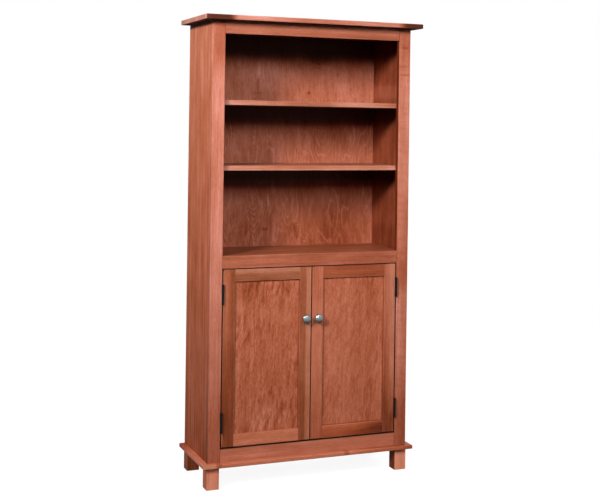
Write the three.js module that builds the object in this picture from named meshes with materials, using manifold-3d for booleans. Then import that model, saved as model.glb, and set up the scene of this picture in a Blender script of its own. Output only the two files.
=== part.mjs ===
// A tall bookcase with three open bays over a cabinet with two framed doors.
// Millimetres, +Z up. The origin is on the floor, under the middle of the overall box.
// The front faces -Y and the left side is -X.

import * as THREE from 'three';
import { mergeVertices } from 'three/addons/utils/BufferGeometryUtils.js';
import Module from 'manifold-3d';

// Overall size of the case, and the fits that every joint shares
const totalHeight = 1829;
const caseWidth = 850;
const caseDepth = 314;
const jointGap = 0.3;
const cutOverrun = 3;

// Top board, flush with the case at the back
const topThickness = 19;
const topFrontOverhang = 38;
const topSideOverhang = 38;
const topEdgeRadius = 2.5;

// Feet and the mitred base frame that they carry
const footHeight = 86;
const footSize = 50.5;
const footProud = 2;
const footEdgeRadius = 2;
const baseThickness = 16;
const baseFrontOverhang = 23.5;
const baseSideOverhang = 22;
const baseBoardWidth = 76;
const baseEdgeRadius = 3;

// Boards of the case
const sideThickness = 19;
const deckThickness = 19;
const backThickness = 6;
const backRabbetWidth = 9;
const dadoDepth = 7;
const tongueThickness = 9;

// Face frame
const frameThickness = 19;
const frameStileWidth = 51.5;
const topRailHeight = 50;
const middleRailHeight = 49;
const bottomRailHeight = 52;
const deckLevel = 899;
const frameTenonLength = 24;
const frameTenonThickness = 7;
const frameTenonShoulder = 7;

// Shelves and the pins that carry them
const shelfThickness = 18.5;
const upperShelfShare = 0.701;
const lowerShelfShare = 0.4045;
const cabinetShelfShare = 0.51;
const shelfFrontClearance = 2;
const shelfBackClearance = 3;
const pinRadius = 2.5;
const pinHoleDepth = 10;
const pinReach = 9;
const pinCollarRadius = 4;
const pinCollarThickness = 1;
const pinSetback = 37;
const pinRowPitch = 32;
const pinRowOffsets = [-1, 0, 1];

// Doors, inset in the face frame
const doorThickness = 19;
const doorSideGap = 3.5;
const doorTopGap = 2.7;
const doorBottomGap = 5.5;
const doorSeam = 2.8;
const doorStileWidth = 49;
const doorTopRailHeight = 48;
const doorBottomRailHeight = 48;
const doorPanelThickness = 6;
const doorPanelRecess = 8;
const doorPanelFloat = 1;
const doorGrooveDepth = 9;

// Knobs and their screws
const knobRadius = 17.5;
const knobProjection = 27;
const knobBaseRadius = 9.5;
const knobBaseThickness = 3;
const knobNeckRadius = 6;
const knobHeadThickness = 14;
const knobWidestShare = 0.36;
const knobDrop = 204.8;
const knobBoreDepth = 14;
const screwRadius = 2;
const screwHeadRadius = 4.5;
const screwHeadThickness = 2.6;
const screwHeadFlatShare = 0.7;
const screwHeadRimShare = 0.5;
const screwReach = 11;

// Butt hinges, let into the door and the frame, with the barrel in front of the face
const hingeHeight = 78;
const hingeEndDistance = 96.5;
const hingeKnuckleRadius = 4.75;
const hingeKnuckleCount = 5;
const hingeLeafThickness = 1.5;
const hingeLeafReach = 15;
const hingeAxisForward = 5.25;
const hingePinRadius = 1.6;
const hingePinHeadRadius = 3.2;
const hingePinHeadThickness = 1.4;

// Double magnetic catch on a block under the deck, and a strike on each door
const catchBlockWidth = 110;
const catchBlockThickness = 19;
const catchDrop = 15;
const catchRise = 6;
const catchWidth = 68;
const catchDepth = 13;
const catchHeight = 12;
const magnetWidth = 22;
const magnetHeight = 8;
const magnetRecess = 1;
const strikeWidth = 20;
const strikeHeight = 12;
const strikeThickness = 1.2;

// Facets of round forms
const roundSegments = 32;
const smallRoundSegments = 16;
const knobProfileSteps = 7;
const easedEdgeSteps = 3;

// Levels and planes that the pieces share
const overallDepth = topFrontOverhang + caseDepth;
const caseBack = overallDepth / 2;
const caseFront = caseBack - caseDepth;
const caseHalf = caseWidth / 2;
const baseTop = footHeight + baseThickness;
const caseTop = totalHeight - topThickness;
const caseBottomEdge = baseTop + jointGap;
const caseTopEdge = caseTop - jointGap;
const frameBack = caseFront + frameThickness;
const sideInner = caseHalf - sideThickness;
const openingHalf = caseHalf - frameStileWidth;
const openingTop = caseTop - topRailHeight;
const cabinetTop = deckLevel - middleRailHeight;
const cabinetFloor = baseTop + bottomRailHeight;
const backFront = caseBack - backThickness;
const boardFront = frameBack + jointGap;
const boardBack = backFront - jointGap;

const doorBottom = cabinetFloor + doorBottomGap;
const doorTop = cabinetTop - doorTopGap;
const doorHeight = doorTop - doorBottom;
const doorWidth = openingHalf - doorSideGap - doorSeam / 2;
const hingeAxisX = openingHalf - doorSideGap / 2;
const hingeAxisY = caseFront - hingeAxisForward;
const hingeHeights = { lower: hingeEndDistance, upper: doorHeight - hingeEndDistance };
const knobInset = doorStileWidth / 2;

// Finishes
const finish = (color, roughness, metalness) =>
  new THREE.MeshStandardMaterial({ color, roughness, metalness });
const caseWood = finish(0xa9603f, 0.45, 0);
const frameWood = finish(0xc07556, 0.42, 0);
const doorWood = finish(0xb26647, 0.42, 0);
const panelWood = finish(0xa85a3c, 0.45, 0);
const backPlywood = finish(0x8a4f38, 0.6, 0);
const shelfWood = finish(0xb56a4c, 0.45, 0);
const hingeIron = finish(0x15110f, 0.45, 0.8);
const knobNickel = finish(0x9aa3a5, 0.35, 0.9);
const brightSteel = finish(0xb5b5b2, 0.35, 0.9);
const catchPlastic = finish(0x4a2c1e, 0.6, 0);

// Solids
const wasm = await Module();
wasm.setup();

function toSolid(geometry) {
  const bare = geometry.clone();
  bare.deleteAttribute('normal');
  bare.deleteAttribute('uv');
  const merged = mergeVertices(bare);
  return new wasm.Manifold(new wasm.Mesh({
    numProp: 3,
    vertProperties: Float32Array.from(merged.attributes.position.array),
    triVerts: Uint32Array.from(merged.index.array),
  }));
}

function toGeometry(solid) {
  const mesh = solid.getMesh();
  const geometry = new THREE.BufferGeometry();
  geometry.setAttribute('position', new THREE.BufferAttribute(mesh.vertProperties, 3));
  geometry.setIndex(new THREE.BufferAttribute(mesh.triVerts, 1));
  geometry.computeVertexNormals();
  return geometry;
}

// A block between two planes along each axis
function block([x0, x1], [y0, y1], [z0, z1]) {
  const geometry = new THREE.BoxGeometry(x1 - x0, y1 - y0, z1 - z0);
  geometry.translate((x0 + x1) / 2, (y0 + y1) / 2, (z0 + z1) / 2);
  return toSolid(geometry);
}

// A span about a middle, and a span widened at both ends
const about = (middle, width) => [middle - width / 2, middle + width / 2];
const widened = ([low, high], margin) => [low - margin, high + margin];

// A cylinder along X, Y or Z, centred at a point
function cylinder(radius, length, axis, [x, y, z], segments = smallRoundSegments) {
  const geometry = new THREE.CylinderGeometry(radius, radius, length, segments);
  if (axis === 'x') geometry.rotateZ(Math.PI / 2);
  if (axis === 'z') geometry.rotateX(Math.PI / 2);
  geometry.translate(x, y, z);
  return toSolid(geometry);
}

// A turned form along +Z from a closed profile of [radius, height] points
function turned(profile, segments) {
  const points = profile.map(([radius, height]) => new THREE.Vector2(radius, height));
  const geometry = new THREE.LatheGeometry(points, segments);
  return geometry.rotateX(Math.PI / 2);
}

// The outline of a board's section, square at u0, with both corners at u1 eased
function easedSection(u0, u1, v0, v1, radius) {
  const shape = new THREE.Shape();
  shape.moveTo(u0, v0);
  shape.lineTo(u1 - radius, v0);
  shape.absarc(u1 - radius, v0 + radius, radius, -Math.PI / 2, 0, false);
  shape.lineTo(u1, v1 - radius);
  shape.absarc(u1 - radius, v1 - radius, radius, 0, Math.PI / 2, false);
  shape.lineTo(u0, v1);
  shape.closePath();
  return shape;
}

// A board along X whose front edge, at the low Y, is eased. Its section lies in Y and Z.
function boardAlongX([x0, x1], [y0, y1], [z0, z1], radius) {
  const shape = easedSection(-y1, -y0, z0, z1, radius);
  const geometry = new THREE.ExtrudeGeometry(shape,
    { depth: x1 - x0, bevelEnabled: false, curveSegments: easedEdgeSteps });
  const toBoard = new THREE.Matrix4().makeBasis(
    new THREE.Vector3(0, -1, 0), new THREE.Vector3(0, 0, 1), new THREE.Vector3(-1, 0, 0));
  geometry.applyMatrix4(toBoard);
  geometry.translate(x1, 0, 0);
  return toSolid(geometry);
}

// A board along Y whose outer edge is eased: at the high X for side 1, at the low X for -1
function boardAlongY([inner, outer], [y0, y1], [z0, z1], radius, side) {
  const shape = easedSection(inner, outer, z0, z1, radius);
  const geometry = new THREE.ExtrudeGeometry(shape,
    { depth: y1 - y0, bevelEnabled: false, curveSegments: easedEdgeSteps });
  const toBoard = new THREE.Matrix4().makeBasis(
    new THREE.Vector3(1, 0, 0), new THREE.Vector3(0, 0, 1), new THREE.Vector3(0, -1, 0));
  geometry.applyMatrix4(toBoard);
  geometry.translate(0, y1, 0);
  if (side < 0) geometry.rotateZ(Math.PI).translate(0, y0 + y1, 0);
  return toSolid(geometry);
}

// An upright prism from a plan outline
function prism(points, [z0, z1]) {
  const shape = new THREE.Shape(points.map(([x, y]) => new THREE.Vector2(x, y)));
  const geometry = new THREE.ExtrudeGeometry(shape, { depth: z1 - z0, bevelEnabled: false });
  geometry.translate(0, 0, z0);
  return toSolid(geometry);
}

// Each piece is one named mesh. One made from a solid has its origin at its own centre.
const bookcase = new THREE.Group();

function addPiece(parent, name, material, solid) {
  const geometry = toGeometry(solid);
  geometry.computeBoundingBox();
  const centre = geometry.boundingBox.getCenter(new THREE.Vector3());
  geometry.translate(-centre.x, -centre.y, -centre.z);
  return addCopy(parent, name, material, geometry, centre.toArray());
}

function addCopy(parent, name, material, geometry, [x, y, z]) {
  const mesh = new THREE.Mesh(geometry, material);
  mesh.name = name;
  mesh.position.set(x, y, z);
  parent.add(mesh);
  return mesh;
}

// Rows of shelf pins: front and back columns, under each shelf
const openHeight = openingTop - deckLevel;
const shelfBoards = [
  { name: 'upper_shelf', level: deckLevel + upperShelfShare * openHeight },
  { name: 'lower_shelf', level: deckLevel + lowerShelfShare * openHeight },
  { name: 'cabinet_shelf', level: cabinetFloor + cabinetShelfShare * (cabinetTop - cabinetFloor) },
];
const pinColumns = [
  { name: 'front', y: frameBack + pinSetback },
  { name: 'back', y: backFront - pinSetback },
];
const pinLevel = (shelf) => shelf.level - shelfThickness - jointGap - pinRadius;

// The top board: a long and a cross section, both eased, meet in it
function addTopBoard() {
  const levels = [caseTop, totalHeight];
  const across = caseHalf + topSideOverhang;
  const along = [caseFront - topFrontOverhang, caseBack];
  const rightHalf = boardAlongY([0, across], along, levels, topEdgeRadius, 1);
  const leftHalf = boardAlongY([0, across], along, levels, topEdgeRadius, -1);
  const cross = boardAlongX([-across, across], along, levels, topEdgeRadius);
  addPiece(bookcase, 'top_board', caseWood, rightHalf.add(leftHalf).intersect(cross));
}

// The tongue along the underside of a fixed board's end
const tongueLevels = (level) => [level - deckThickness, level - deckThickness + tongueThickness];

// A side: a rabbet behind for the back, dadoes for the deck and the cabinet bottom, pin holes
function addSidePanel(name, side) {
  const span = (inner, outer) => [inner * side, outer * side].sort((a, b) => a - b);
  let panel = block(span(sideInner, caseHalf), [boardFront, caseBack], [caseBottomEdge, caseTopEdge]);
  const rabbet = block(span(sideInner - cutOverrun, sideInner + backRabbetWidth),
    [boardBack, caseBack + cutOverrun], [baseTop - cutOverrun, caseTop + cutOverrun]);
  panel = panel.subtract(rabbet);
  for (const level of [deckLevel, cabinetFloor]) {
    const dado = block(span(sideInner - cutOverrun, sideInner + dadoDepth),
      [boardFront - cutOverrun, caseBack + cutOverrun], widened(tongueLevels(level), jointGap));
    panel = panel.subtract(dado);
  }
  const [holeLow, holeHigh] = span(sideInner - cutOverrun, sideInner + pinHoleDepth);
  for (const shelf of shelfBoards) {
    for (const row of pinRowOffsets) {
      for (const column of pinColumns) {
        const place = [(holeLow + holeHigh) / 2, column.y, pinLevel(shelf) + row * pinRowPitch];
        const hole = cylinder(pinRadius + jointGap, holeHigh - holeLow, 'x', place);
        panel = panel.subtract(hole);
      }
    }
  }
  addPiece(bookcase, name, caseWood, panel);
}

// The plywood back, in the rabbets of the sides
function addBackPanel() {
  const half = sideInner + backRabbetWidth - jointGap;
  const panel = block([-half, half], [backFront, caseBack], [caseBottomEdge, caseTopEdge]);
  addPiece(bookcase, 'back_panel', backPlywood, panel);
}

// The fixed deck and the cabinet bottom: shouldered boards with tongues in the dadoes
function addFixedBoard(name, level) {
  const half = sideInner - jointGap;
  const tongueHalf = sideInner + dadoDepth - jointGap;
  const board = block([-half, half], [boardFront, boardBack], [level - deckThickness, level]);
  const tongues = block([-tongueHalf, tongueHalf], [boardFront, boardBack], tongueLevels(level));
  addPiece(bookcase, name, caseWood, board.add(tongues));
}

// The face frame: tenoned rails between two full-height stiles
const frameRails = [
  { name: 'top_frame_rail', span: [openingTop, caseTopEdge] },
  { name: 'middle_frame_rail', span: [cabinetTop, deckLevel] },
  { name: 'bottom_frame_rail', span: [caseBottomEdge, cabinetFloor] },
];
const frameTenonPlanes = about((caseFront + frameBack) / 2, frameTenonThickness);
const tenonLevels = (rail) => widened(rail.span, -frameTenonShoulder);

function addFrameStile(name, side) {
  const span = (inner, outer) => [inner * side, outer * side].sort((a, b) => a - b);
  let stile = block(span(openingHalf, caseHalf), [caseFront, frameBack], [caseBottomEdge, caseTopEdge]);
  for (const rail of frameRails) {
    const mortise = block(
      span(openingHalf - cutOverrun, openingHalf + frameTenonLength + jointGap),
      widened(frameTenonPlanes, jointGap), widened(tenonLevels(rail), jointGap));
    stile = stile.subtract(mortise);
  }
  for (const height of Object.values(hingeHeights)) {
    const recess = block(
      span(openingHalf - cutOverrun, openingHalf + hingeLeafThickness + jointGap),
      [caseFront - cutOverrun, caseFront + hingeLeafReach + jointGap],
      about(doorBottom + height, hingeHeight + 2 * jointGap));
    stile = stile.subtract(recess);
  }
  addPiece(bookcase, name, frameWood, stile);
}

function addFrameRail(rail) {
  const half = openingHalf - jointGap;
  const tenonHalf = openingHalf + frameTenonLength;
  const body = block([-half, half], [caseFront, frameBack], rail.span);
  const tenons = block([-tenonHalf, tenonHalf], frameTenonPlanes, tenonLevels(rail));
  addPiece(bookcase, rail.name, frameWood, body.add(tenons));
}

// The base frame: eased outside, mitred at the front corners, butted at the back
const baseLevels = [footHeight + jointGap, baseTop];
const baseFront = caseFront - baseFrontOverhang;
const baseOuter = caseHalf + baseSideOverhang;
const baseInner = baseOuter - baseBoardWidth;

// The waste past a mitre line, which runs from the outer corner to the inner one
function mitreWaste(side, frontWaste) {
  const reach = baseBoardWidth + cutOverrun;
  const shift = jointGap / Math.SQRT2;
  const slide = frontWaste ? shift : -shift;
  const outer = [side * (baseOuter + cutOverrun), baseFront - cutOverrun + slide];
  const inner = [side * (baseOuter - reach), baseFront + reach + slide];
  const far = frontWaste ? [inner[0], outer[1]] : [outer[0], inner[1]];
  const points = [outer, inner, far];
  return prism(points, widened(baseLevels, cutOverrun));
}

function addBaseFrame() {
  const frontPlanes = [baseFront, baseFront + baseBoardWidth];
  let front = boardAlongX([-baseOuter, baseOuter], frontPlanes, baseLevels, baseEdgeRadius);
  for (const side of [-1, 1]) front = front.subtract(mitreWaste(side, false));
  addPiece(bookcase, 'front_base_board', frameWood, front);
  for (const [name, side] of [['left_base_board', -1], ['right_base_board', 1]]) {
    const board = boardAlongY([baseInner, baseOuter], [baseFront, caseBack], baseLevels,
      baseEdgeRadius, side);
    addPiece(bookcase, name, caseWood, board.subtract(mitreWaste(side, true)));
  }
  const backHalf = baseInner - jointGap;
  const back = block([-backHalf, backHalf], [caseBack - baseBoardWidth, caseBack], baseLevels);
  addPiece(bookcase, 'back_base_board', caseWood, back);
}

// Four square feet with eased upright edges
function footGeometry() {
  const half = footSize / 2;
  const straight = half - footEdgeRadius;
  const shape = new THREE.Shape();
  shape.moveTo(straight, -half);
  shape.absarc(straight, -straight, footEdgeRadius, -Math.PI / 2, 0, false);
  shape.absarc(straight, straight, footEdgeRadius, 0, Math.PI / 2, false);
  shape.absarc(-straight, straight, footEdgeRadius, Math.PI / 2, Math.PI, false);
  shape.absarc(-straight, -straight, footEdgeRadius, Math.PI, Math.PI * 1.5, false);
  shape.closePath();
  return new THREE.ExtrudeGeometry(shape,
    { depth: footHeight, bevelEnabled: false, curveSegments: easedEdgeSteps });
}

function addFeet() {
  const geometry = footGeometry();
  const x = caseHalf + footProud - footSize / 2;
  const frontY = caseFront - footProud + footSize / 2;
  const backY = caseBack - footSize / 2;
  addCopy(bookcase, 'front_left_foot', frameWood, geometry, [-x, frontY, 0]);
  addCopy(bookcase, 'front_right_foot', frameWood, geometry, [x, frontY, 0]);
  addCopy(bookcase, 'back_left_foot', frameWood, geometry, [-x, backY, 0]);
  addCopy(bookcase, 'back_right_foot', frameWood, geometry, [x, backY, 0]);
}

// Loose shelves, each on four pins whose collars stand in the gap beside the shelf
function pinGeometry() {
  return turned([
    [0, jointGap - pinHoleDepth],
    [pinRadius, jointGap - pinHoleDepth],
    [pinRadius, jointGap],
    [pinCollarRadius, jointGap],
    [pinCollarRadius, jointGap + pinCollarThickness],
    [pinRadius, jointGap + pinCollarThickness],
    [pinRadius, pinReach],
    [0, pinReach],
  ], smallRoundSegments);
}

function addShelf(shelf, pin) {
  const half = sideInner - pinCollarThickness - 2 * jointGap;
  const board = block([-half, half],
    [frameBack + shelfFrontClearance, backFront - shelfBackClearance],
    [shelf.level - shelfThickness, shelf.level]);
  addPiece(bookcase, shelf.name, shelfWood, board);
  for (const [sideName, side] of [['left', -1], ['right', 1]]) {
    for (const column of pinColumns) {
      const name = `${shelf.name}_${column.name}_${sideName}_pin`;
      const mesh = addCopy(bookcase, name, brightSteel, pin,
        [side * sideInner, column.y, pinLevel(shelf)]);
      mesh.rotation.y = -side * Math.PI / 2;
    }
  }
}

// A hinge in its own frame: the pin on Z, the leaves towards +Y, the frame leaf at -X
const knucklePitch = hingeHeight / hingeKnuckleCount;
const isFrameKnuckle = (index) => index % 2 === 0;

function knuckleSpan(index) {
  const low = -hingeHeight / 2 + index * knucklePitch;
  const lowGap = index > 0 ? jointGap / 2 : 0;
  const highGap = index < hingeKnuckleCount - 1 ? jointGap / 2 : 0;
  return [low + lowGap, low + knucklePitch - highGap];
}

function hingeLeaf(isFrame) {
  const side = isFrame ? -1 : 1;
  const planes = [side * doorSideGap / 2, side * (doorSideGap / 2 + hingeLeafThickness)];
  const thickness = planes.sort((a, b) => a - b);
  const reach = hingeAxisForward + hingeLeafReach;
  let leaf = block(thickness, [hingeAxisForward, reach], [-hingeHeight / 2, hingeHeight / 2]);
  for (let index = 0; index < hingeKnuckleCount; index += 1) {
    if (isFrameKnuckle(index) !== isFrame) continue;
    const span = knuckleSpan(index);
    const place = [0, 0, (span[0] + span[1]) / 2];
    const barrel = cylinder(hingeKnuckleRadius, span[1] - span[0], 'z', place);
    const tongue = block(thickness, [0, reach], span);
    leaf = leaf.add(barrel).add(tongue);
  }
  if (!isFrame) {
    const bore = cylinder(hingePinRadius + jointGap, hingeHeight, 'z', [0, 0, 0]);
    return leaf.subtract(bore);
  }
  const pin = cylinder(hingePinRadius, hingeHeight, 'z', [0, 0, 0]);
  leaf = leaf.add(pin);
  for (const end of [-1, 1]) {
    const place = [0, 0, end * hingeHeight / 2];
    leaf = leaf.add(cylinder(hingePinHeadRadius, 2 * hingePinHeadThickness, 'z', place));
  }
  return leaf;
}

// The height of the catch, and each magnet's distance from the middle of the case
const catchLevel = doorTop - catchDrop;
const magnetStation = catchWidth / 4;

// The double catch: a cleat under the deck, and a housing that shows its two magnets
function addCatch() {
  const housingFront = frameBack + jointGap + strikeThickness + jointGap;
  const blockFront = housingFront + catchDepth + jointGap;
  const cleat = block(about(0, catchBlockWidth), [blockFront, blockFront + catchBlockThickness],
    [catchLevel - catchHeight / 2 - catchRise, deckLevel - deckThickness - jointGap]);
  addPiece(bookcase, 'catch_block', caseWood, cleat);
  let housing = block(about(0, catchWidth), [housingFront, blockFront - jointGap],
    about(catchLevel, catchHeight));
  for (const side of [-1, 1]) {
    const slot = block(about(side * magnetStation, magnetWidth),
      [housingFront - cutOverrun, housingFront + magnetRecess], about(catchLevel, magnetHeight));
    housing = housing.subtract(slot);
  }
  addPiece(bookcase, 'magnetic_catch', catchPlastic, housing);
}

// A knob along +Z: a foot, a neck and a domed head, with a blind bore for its screw
function knobGeometry() {
  const boreRadius = screwRadius + jointGap;
  const headBase = knobProjection - knobHeadThickness;
  const profile = [
    [0, knobBoreDepth],
    [boreRadius, knobBoreDepth],
    [boreRadius, jointGap],
    [knobBaseRadius, jointGap],
    [knobBaseRadius, knobBaseThickness],
    [knobNeckRadius, knobBaseThickness + (knobBaseRadius - knobNeckRadius) / 2],
    [knobNeckRadius, headBase],
  ];
  const middle = headBase + knobHeadThickness * knobWidestShare;
  for (let step = 1; step <= knobProfileSteps; step += 1) {
    const angle = (step / knobProfileSteps) * Math.PI / 2;
    profile.push([
      knobNeckRadius + (knobRadius - knobNeckRadius) * Math.sin(angle),
      middle - (middle - headBase) * Math.cos(angle),
    ]);
  }
  for (let step = 1; step <= knobProfileSteps; step += 1) {
    const angle = (step / knobProfileSteps) * Math.PI / 2;
    profile.push([
      knobRadius * Math.cos(angle),
      middle + (knobProjection - middle) * Math.sin(angle),
    ]);
  }
  profile[profile.length - 1][0] = 0;
  return turned(profile, roundSegments);
}

// A machine screw along +Z, its head behind the stile and its tip in the knob
function screwGeometry() {
  const headSeat = -doorThickness - jointGap;
  const headEnd = headSeat - screwHeadThickness;
  return turned([
    [0, headEnd],
    [screwHeadRadius * screwHeadFlatShare, headEnd],
    [screwHeadRadius, headSeat - screwHeadThickness * screwHeadRimShare],
    [screwHeadRadius, headSeat],
    [screwRadius, headSeat],
    [screwRadius, screwReach],
    [0, screwReach],
  ], smallRoundSegments);
}

// A door in its own frame: X from the hinge axis, Y from the axis to the back, Z from its foot
function addDoor(name, side, shared) {
  const door = new THREE.Group();
  door.position.set(side * hingeAxisX, hingeAxisY, doorBottom);
  bookcase.add(door);
  const inward = (from, to) => [-side * from, -side * to].sort((a, b) => a - b);
  const hingeEdge = doorSideGap / 2;
  const lockEdge = hingeEdge + doorWidth;
  const front = hingeAxisForward;
  const planes = [front, front + doorThickness];
  const panelPlanes = [front + doorPanelRecess, front + doorPanelRecess + doorPanelThickness];
  const groovePlanes = widened(panelPlanes, jointGap);
  const innerLeft = hingeEdge + doorStileWidth;
  const innerRight = lockEdge - doorStileWidth;
  const innerLow = doorBottomRailHeight;
  const innerHigh = doorHeight - doorTopRailHeight;

  // The hinge stile, grooved inside and let in for two leaves outside
  let hingeStile = block(inward(hingeEdge, innerLeft), planes, [0, doorHeight]);
  hingeStile = hingeStile.subtract(block(inward(innerLeft - doorGrooveDepth, innerLeft + cutOverrun),
    groovePlanes, [-cutOverrun, doorHeight + cutOverrun]));
  for (const height of Object.values(hingeHeights)) {
    hingeStile = hingeStile.subtract(block(
      inward(hingeEdge - cutOverrun, hingeEdge + hingeLeafThickness + jointGap),
      [front - cutOverrun, front + hingeLeafReach + jointGap],
      about(height, hingeHeight + 2 * jointGap)));
  }
  addPiece(door, `${name}_hinge_stile`, doorWood, hingeStile);

  // The lock stile, grooved inside and drilled for the knob's screw
  const knobX = -side * (lockEdge - knobInset);
  const knobZ = doorHeight - knobDrop;
  let lockStile = block(inward(innerRight, lockEdge), planes, [0, doorHeight]);
  lockStile = lockStile.subtract(block(inward(innerRight - cutOverrun, innerRight + doorGrooveDepth),
    groovePlanes, [-cutOverrun, doorHeight + cutOverrun]));
  lockStile = lockStile.subtract(cylinder(screwRadius + jointGap, doorThickness + 2 * cutOverrun,
    'y', [knobX, (planes[0] + planes[1]) / 2, knobZ]));
  addPiece(door, `${name}_lock_stile`, doorWood, lockStile);

  // Rails between the stiles, with stub tenons in the stiles' grooves and a groove for the panel
  const rails = [
    { name: 'top_rail', span: [innerHigh, doorHeight],
      groove: [innerHigh - cutOverrun, innerHigh + doorGrooveDepth] },
    { name: 'bottom_rail', span: [0, innerLow],
      groove: [innerLow - doorGrooveDepth, innerLow + cutOverrun] },
  ];
  const tenonReach = doorGrooveDepth - jointGap;
  for (const rail of rails) {
    const body = block(inward(innerLeft + jointGap, innerRight - jointGap), planes, rail.span);
    const tenons = block(inward(innerLeft - tenonReach, innerRight + tenonReach),
      panelPlanes, rail.span);
    const groove = block(inward(innerLeft - doorGrooveDepth - cutOverrun,
      innerRight + doorGrooveDepth + cutOverrun), groovePlanes, rail.groove);
    addPiece(door, `${name}_${rail.name}`, doorWood, body.add(tenons).subtract(groove));
  }

  // The flat panel floats in the grooves
  const lap = doorGrooveDepth - doorPanelFloat;
  const panel = block(inward(innerLeft - lap, innerRight + lap), panelPlanes,
    [innerLow - lap, innerHigh + lap]);
  addPiece(door, `${name}_panel`, panelWood, panel);

  // The knob and its screw point to the front
  for (const [part, material, geometry] of [
    ['knob', knobNickel, shared.knob], ['knob_screw', brightSteel, shared.screw]]) {
    const mesh = addCopy(door, `${name}_${part}`, material, geometry, [knobX, front, knobZ]);
    mesh.rotation.x = Math.PI / 2;
  }

  // The strike, on the back of the lock stile, meets one magnet
  const strikeX = -side * (lockEdge + doorSeam / 2) + side * magnetStation;
  const strike = block(about(strikeX, strikeWidth),
    [planes[1] + jointGap, planes[1] + jointGap + strikeThickness],
    about(catchLevel - doorBottom, strikeHeight));
  addPiece(door, `${name}_strike`, brightSteel, strike);

  // Hinge leaves: one half of each hinge stays with the frame and the other turns with the door
  const turn = side > 0 ? Math.PI : 0;
  for (const [level, height] of Object.entries(hingeHeights)) {
    const doorLeaf = addCopy(door, `${name}_${level}_hinge_leaf`, hingeIron, shared.doorLeaf,
      [0, 0, height]);
    doorLeaf.rotation.y = turn;
    const frameLeaf = addCopy(bookcase, `${name}_${level}_hinge_frame_leaf`, hingeIron,
      shared.frameLeaf, [side * hingeAxisX, hingeAxisY, doorBottom + height]);
    frameLeaf.rotation.y = turn;
  }
}

addTopBoard();
addSidePanel('left_side_panel', -1);
addSidePanel('right_side_panel', 1);
addBackPanel();
addFixedBoard('fixed_deck', deckLevel);
addFixedBoard('cabinet_bottom', cabinetFloor);
addFrameStile('left_frame_stile', -1);
addFrameStile('right_frame_stile', 1);
for (const rail of frameRails) addFrameRail(rail);
addBaseFrame();
addFeet();
const pin = pinGeometry();
for (const shelf of shelfBoards) addShelf(shelf, pin);
addCatch();
const shared = {
  knob: knobGeometry(),
  screw: screwGeometry(),
  frameLeaf: toGeometry(hingeLeaf(true)),
  doorLeaf: toGeometry(hingeLeaf(false)),
};
addDoor('left_door', -1, shared);
addDoor('right_door', 1, shared);

export default bookcase;
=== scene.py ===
"""How the bookcase looks: its camera, light, floor, finishes and small fasteners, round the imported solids.

Everything is in metres, and the front of the case faces -Y.
"""

import math

import bmesh
import bpy
from mathutils import Matrix, Vector


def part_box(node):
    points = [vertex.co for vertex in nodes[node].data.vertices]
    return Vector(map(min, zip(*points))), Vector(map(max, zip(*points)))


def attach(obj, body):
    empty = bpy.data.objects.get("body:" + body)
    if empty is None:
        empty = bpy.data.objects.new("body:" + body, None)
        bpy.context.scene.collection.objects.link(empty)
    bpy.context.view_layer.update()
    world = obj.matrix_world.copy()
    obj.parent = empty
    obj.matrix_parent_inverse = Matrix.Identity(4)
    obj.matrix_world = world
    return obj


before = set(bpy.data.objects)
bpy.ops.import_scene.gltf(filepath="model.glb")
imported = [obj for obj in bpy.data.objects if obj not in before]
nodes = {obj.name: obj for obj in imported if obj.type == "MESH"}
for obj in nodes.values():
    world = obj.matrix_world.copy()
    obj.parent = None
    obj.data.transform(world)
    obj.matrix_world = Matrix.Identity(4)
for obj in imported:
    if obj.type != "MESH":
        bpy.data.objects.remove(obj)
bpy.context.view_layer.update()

# Camera
CAMERA_PLACE = Vector((-1.7225, -4.3076, 1.4097))
CAMERA_YAW = math.radians(21.74)
CAMERA_ROLL = math.radians(0.78)
CAMERA_LENS = 68.02
CAMERA_SHIFT = -0.2085
CAMERA_REACH = 100

# Lamps: azimuth to the left of the front, elevation, distance, width, height, spread and strength
AIM = Vector((0, -0.14, 1.5))
LAMPS = (
    ("front_lamp", 9, 19, 6.4, 0.95, 1.4, 56, 17),
    ("side_lamp", 53, 21, 5.5, 0.95, 0.95, 56, 35),
    ("upper_lamp", -8, 34, 6.0, 2.6, 2.4, 60, 8),
    ("back_lamp", -135, 25, 6.5, 2.0, 2.0, 60, 45),
)
WORLD_FILL = 0.002

# The floor: how white the camera sees it, from near the case to far from it
FLOOR_HALF_SIZE = 60
FLOOR_GREY = (0.2, 0.2, 0.2, 1)
FLOOR_ROUGHNESS = 0.9
FLOOR_WHITE_RANGE = (0.8, 2.4, 0.92, 1.0)

# The cabinet's opening, the doors in it, and the painted shade on the edges at the gaps
FRONT = -0.138
CABINET_TOP = 0.850
OPENING_SIDES = (("X", -0.3735), ("X", 0.3735))
OPENING_ENDS = (("Z", 0.154), ("Z", CABINET_TOP))
LEFT_DOOR = (("X", -0.370), ("X", -0.0014), ("Z", 0.1595), ("Z", 0.8473))
RIGHT_DOOR = (("X", 0.370), ("X", 0.0014), ("Z", 0.1595), ("Z", 0.8473))
ABOVE_CABINET = (CABINET_TOP + 0.001, CABINET_TOP + 0.002)
DOOR_GAP_DEPTH = 0.009
FRAME_GAP_DEPTH = 0.016
GAP_FADE = 0.003
GAP_EDGE = (0.0005, 0.0013)
GAP_SHARE = 0.92

# The open bays: the lower edges of the top rail and the shelves, and the depths of painted shade below them
BAY_TOPS = (1.760, 1.484, 1.2288)
BAY_SHADE_DEPTHS = (0.04, 0.10)
SHELF_THICKNESS = 0.0185
INNER_HALF_WIDTH = 0.410
INNER_BACK = 0.173

# Rounded edges
BOARD_ROUNDING = 0.0012
FRAME_ROUNDING = 0.0005
ROUNDING_SEGMENTS = 2
ROUNDED_ANGLE = math.radians(50)
WELD_DISTANCE = 0.00001

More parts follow.
